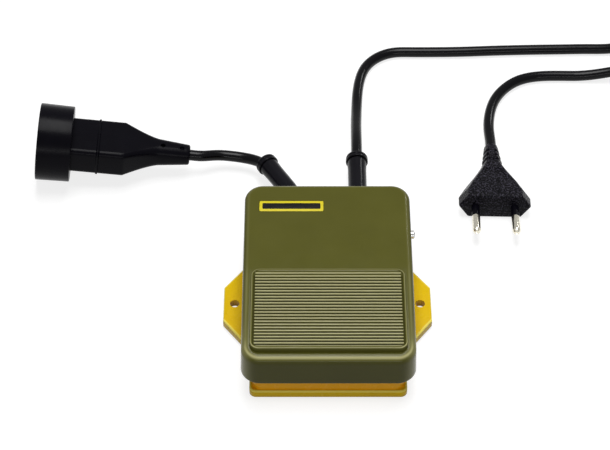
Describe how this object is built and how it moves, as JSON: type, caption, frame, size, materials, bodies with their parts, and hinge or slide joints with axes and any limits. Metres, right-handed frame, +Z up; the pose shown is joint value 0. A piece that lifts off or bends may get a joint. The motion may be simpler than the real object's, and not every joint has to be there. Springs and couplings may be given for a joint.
{
  "type": "mains foot switch",
  "caption": "Mains foot switch with a hinged ribbed pedal cover on a tray with fixing ears, a short lead to a two-pole coupler socket and a mains lead with a flat two-pin plug",
  "frame": {"origin": "on the ground in the middle of the foot switch itself, without its leads", "axes": "+Y points from the toe end of the pedal to its heel end, where the leads come out; +Z is up; +X completes a right-handed frame, towards the side with the mains lead"},
  "size_m": [0.3892, 0.2718, 0.039],
  "materials": {
    "base_plastic": "moulded, satin yellow",
    "foot_rubber": "moulded, matt black",
    "lid_plastic": "moulded, fine grain, black",
    "steel": "zinc plated",
    "axle_steel": "turned, bright",
    "spring_steel": "drawn wire, bright",
    "switch_plastic": "moulded, black",
    "brass": "bright",
    "pale_plastic": "moulded, off-white",
    "sleeve_rubber": "moulded, satin black",
    "cord_sheath": "extruded flexible sheath, satin black",
    "brown_insulation": "extruded, brown",
    "blue_insulation": "extruded, light blue",
    "cover_plastic": "moulded, glossy olive green",
    "button_plastic": "moulded, red",
    "black_plastic": "moulded flexible plastic, fine grain, black",
    "plate_plastic": "moulded, dark grey",
    "tie_plastic": "flexible band, black",
    "nickel": "nickel plated"
  },
  "bodies": {
    "base": {"base_tray": "base_plastic", "base_feet": "foot_rubber", "inner_lid": "lid_plastic", "lid_screws": "steel", "hinge_axle": "axle_steel", "return_spring": "spring_steel", "microswitch_body": "switch_plastic", "microswitch_terminals": "brass", "microswitch_screws": "steel", "terminal_block": "pale_plastic", "terminal_insert": "brass", "terminal_screws": "steel", "clamp_bars": "lid_plastic", "clamp_screws": "steel", "sleeve_left": "sleeve_rubber", "sleeve_right": "sleeve_rubber", "lead_ends": "cord_sheath", "brown_wires": "brown_insulation", "blue_wires": "blue_insulation", "coupler_lead": "cord_sheath", "coupler_front": "black_plastic", "coupler_rear": "black_plastic", "coupler_plate": "plate_plastic", "coupler_contacts": "brass", "mains_lead_out": "cord_sheath", "mains_coil": "cord_sheath", "coil_ties": "tie_plastic", "mains_lead_in": "cord_sheath", "plug_body": "black_plastic", "plug_pins": "nickel"},
    "pedal": {"pedal_cover": "cover_plastic"},
    "plunger": {"push_pin": "pale_plastic", "microswitch_button": "button_plastic"}
  },
  "joints": [
    {"name": "pedal_hinge", "type": "hinge", "parent": "base", "child": "pedal", "pos_m": [0, 0.0295, 0.023], "axis": [1, 0, 0], "range_deg": [0, 5], "stiffness_Nm_per_rad": 2.9, "springref_deg": -9.45, "deforming": ["return_spring"]},
    {"name": "plunger_slide", "type": "slide", "parent": "base", "child": "plunger", "axis": [0, 0, -1], "range_m": [0, 0.0011]}
  ],
  "couplings": [
    {"joint": "plunger_slide", "follows": "pedal_hinge", "m_per_rad": 0.012}
  ]
}
